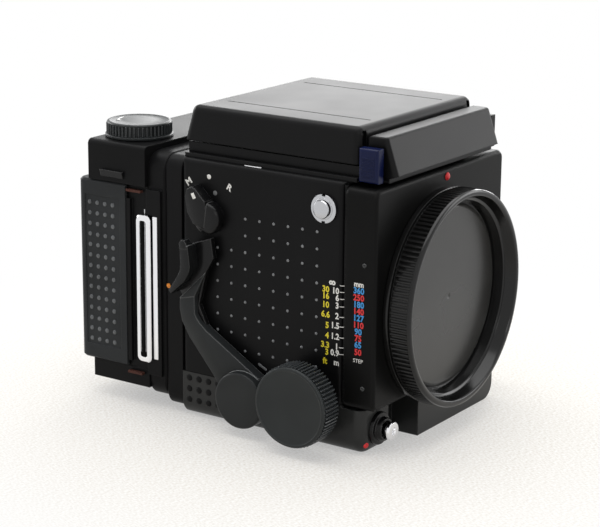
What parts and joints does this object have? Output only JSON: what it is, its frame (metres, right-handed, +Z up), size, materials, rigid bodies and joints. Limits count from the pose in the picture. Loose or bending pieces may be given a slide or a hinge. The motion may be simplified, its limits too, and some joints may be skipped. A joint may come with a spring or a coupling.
{
  "type": "medium format film camera",
  "caption": "Boxy single-lens reflex film camera with a bellows-focused front, folding waist-level hood, revolving roll-film back, side levers and a ribbed body cap.",
  "frame": {"origin": "centre of the tripod socket's mouth in the base, on the ground", "axes": "-Y is where the lens looks, +Z up, -X the viewer's right hand"},
  "size_m": [0.1356, 0.1665, 0.1353],
  "materials": {
    "black_paint": "satin",
    "black_plastic": "matte",
    "grained_cover": "grained",
    "grip_plastic": "ribbed",
    "cap_plastic": "satin",
    "bellows_cloth": "matte",
    "chrome_trim": "polished",
    "steel": "brushed",
    "blue_plastic": "satin",
    "black_metal": "anodised",
    "clear_glass": "polished",
    "ground_glass": "ground",
    "mirror_glass": "polished",
    "brass": "satin",
    "rust_metal": "satin"
  },
  "bodies": {
    "camera": {"body_casting": "black_paint", "right_side_cover": "grained_cover", "left_side_cover": "grained_cover", "base_housing": "black_plastic", "base_plate": "black_paint", "tripod_bush": "steel", "battery": "chrome_trim", "focusing_screen": "ground_glass", "top_cover": "black_plastic", "nameplate_bar": "black_plastic", "finder_base": "black_paint", "rear_frame": "black_plastic", "strap_lugs": "chrome_trim", "accessory_shoe": "chrome_trim", "sync_socket": "chrome_trim", "bellows": "bellows_cloth"},
    "standard": {"front_standard": "black_plastic", "lens_mount_ring": "chrome_trim", "focus_racks": "steel"},
    "focus_drive": {"focus_shaft": "steel", "right_focus_knob": "grip_plastic", "left_focus_knob": "grip_plastic", "focus_pinions": "brass"},
    "cap": {"body_cap": "cap_plastic"},
    "lid": {"hood_lid": "black_paint", "lid_hinge_pins": "steel"},
    "right_panel": {"hood_right_panel": "black_paint"},
    "left_panel": {"hood_left_panel": "black_paint"},
    "rear_panel": {"hood_rear_panel": "black_paint"},
    "magnifier": {"magnifier_frame": "black_paint", "magnifier_lens": "clear_glass"},
    "right_button": {"right_finder_button": "blue_plastic"},
    "left_button": {"left_finder_button": "blue_plastic"},
    "cocking": {"cocking_lever": "black_metal", "cocking_shaft": "steel"},
    "mode": {"mode_lever": "black_metal"},
    "release": {"shutter_button": "chrome_trim"},
    "collar": {"release_collar": "black_metal"},
    "mirror": {"mirror_holder": "black_paint", "mirror_glass": "mirror_glass", "mirror_shaft": "steel"},
    "dial": {"speed_dial": "black_metal"},
    "focus_lock": {"focus_lock_lever": "black_metal"},
    "battery_door": {"battery_cover": "black_plastic"},
    "film_back": {"revolving_adapter": "black_plastic", "adapter_strip": "chrome_trim", "film_holder": "black_plastic", "guide_rollers": "steel", "pressure_plate": "steel", "slide_lock_plates": "rust_metal"},
    "slide": {"dark_slide": "steel", "slide_handle": "chrome_trim"},
    "door": {"back_door": "black_plastic", "door_hinge_pin": "steel"},
    "catch": {"door_catch": "black_metal"},
    "winder": {"wind_knob": "grip_plastic", "take_up_spool": "black_plastic"},
    "supply": {"supply_spool": "black_plastic"}
  },
  "joints": [
    {"name": "standard_slide", "type": "slide", "parent": "camera", "child": "standard", "axis": [0, -1, 0], "range_m": [0, 0.046], "deforming": ["bellows"]},
    {"name": "focus_turn", "type": "hinge", "parent": "camera", "child": "focus_drive", "pos_m": [0, -0.025, 0.0215], "axis": [1, 0, 0], "range_deg": [0, 560]},
    {"name": "cap_off", "type": "slide", "parent": "standard", "child": "cap", "axis": [0, -1, 0], "range_m": [0, 0.02]},
    {"name": "lid_hinge", "type": "hinge", "parent": "camera", "child": "lid", "pos_m": [0, -0.0398, 0.1315], "axis": [1, 0, 0], "range_deg": [0, 90]},
    {"name": "right_panel_fold", "type": "hinge", "parent": "camera", "child": "right_panel", "pos_m": [-0.0416, 0.005, 0.1168], "axis": [0, 1, 0], "range_deg": [-90, 0]},
    {"name": "left_panel_fold", "type": "hinge", "parent": "camera", "child": "left_panel", "pos_m": [0.0416, 0.005, 0.1168], "axis": [0, 1, 0], "range_deg": [0, 90]},
    {"name": "rear_panel_fold", "type": "hinge", "parent": "camera", "child": "rear_panel", "pos_m": [0, 0.0382, 0.1192], "axis": [1, 0, 0], "range_deg": [-90, 0]},
    {"name": "magnifier_swing", "type": "hinge", "parent": "lid", "child": "magnifier", "pos_m": [0, -0.0098, 0.1305], "axis": [1, 0, 0], "range_deg": [-90, 0]},
    {"name": "right_finder_press", "type": "slide", "parent": "camera", "child": "right_button", "axis": [1, 0, 0], "range_m": [0, 0.0015], "stiffness_N_per_m": 400, "springref_m": -0.001},
    {"name": "left_finder_press", "type": "slide", "parent": "camera", "child": "left_button", "axis": [-1, 0, 0], "range_m": [0, 0.0015], "stiffness_N_per_m": 400, "springref_m": -0.001},
    {"name": "cocking_swing", "type": "hinge", "parent": "camera", "child": "cocking", "pos_m": [-0.052, 0.0058, 0.0162], "axis": [1, 0, 0], "range_deg": [0, 80], "stiffness_Nm_per_rad": 0.05, "springref_deg": -11.46},
    {"name": "mode_turn", "type": "hinge", "parent": "camera", "child": "mode", "pos_m": [-0.052, 0.027, 0.0902], "axis": [1, 0, 0], "range_deg": [0, 65]},
    {"name": "release_press", "type": "slide", "parent": "camera", "child": "release", "axis": [0, 1, 0], "range_m": [0, 0.0015], "stiffness_N_per_m": 500, "springref_m": -0.001},
    {"name": "collar_turn", "type": "hinge", "parent": "camera", "child": "collar", "pos_m": [-0.038, -0.05, 0.0096], "axis": [0, 1, 0], "range_deg": [0, 60]},
    {"name": "mirror_swing", "type": "hinge", "parent": "camera", "child": "mirror", "pos_m": [0, 0.0375, 0.1058], "axis": [1, 0, 0], "range_deg": [-45, 0]},
    {"name": "dial_turn", "type": "hinge", "parent": "camera", "child": "dial", "pos_m": [0.052, 0.011, 0.088], "axis": [1, 0, 0], "range_deg": [-135, 135]},
    {"name": "focus_lock_turn", "type": "hinge", "parent": "camera", "child": "focus_lock", "pos_m": [0.052, 0.002, 0.03], "axis": [1, 0, 0], "range_deg": [0, 40]},
    {"name": "battery_cover_turn", "type": "hinge", "parent": "camera", "child": "battery_door", "pos_m": [0.046, 0.029, 0.0114], "axis": [1, 0, 0], "range_deg": [0, 60]},
    {"name": "adapter_turn", "type": "hinge", "parent": "camera", "child": "film_back", "pos_m": [0, 0.05, 0.059], "axis": [0, 1, 0], "range_deg": [0, 90]},
    {"name": "dark_slide_pull", "type": "slide", "parent": "film_back", "child": "slide", "axis": [-1, 0, 0], "range_m": [0, 0.078]},
    {"name": "back_door_swing", "type": "hinge", "parent": "film_back", "child": "door", "pos_m": [0.0502, 0.0942, 0.057], "axis": [0, 0, -1], "range_deg": [0, 105]},
    {"name": "door_catch_push", "type": "slide", "parent": "film_back", "child": "catch", "axis": [0, 1, 0], "range_m": [0, 0.002], "stiffness_N_per_m": 300, "springref_m": -0.001},
    {"name": "wind_turn", "type": "hinge", "parent": "film_back", "child": "winder", "pos_m": [-0.033, 0.0786, 0.11], "axis": [0, 0, 1], "continuous": true},
    {"name": "supply_turn", "type": "hinge", "parent": "film_back", "child": "supply", "pos_m": [0.033, 0.0786, 0.06], "axis": [0, 0, 1], "continuous": true}
  ],
  "couplings": [
    {"joint": "focus_turn", "follows": "standard_slide", "rad_per_m": 200},
    {"joint": "right_panel_fold", "follows": "lid_hinge", "ratio": -1},
    {"joint": "left_panel_fold", "follows": "lid_hinge", "ratio": 1},
    {"joint": "rear_panel_fold", "follows": "lid_hinge", "ratio": -1},
    {"joint": "magnifier_swing", "follows": "lid_hinge", "ratio": -1}
  ]
}
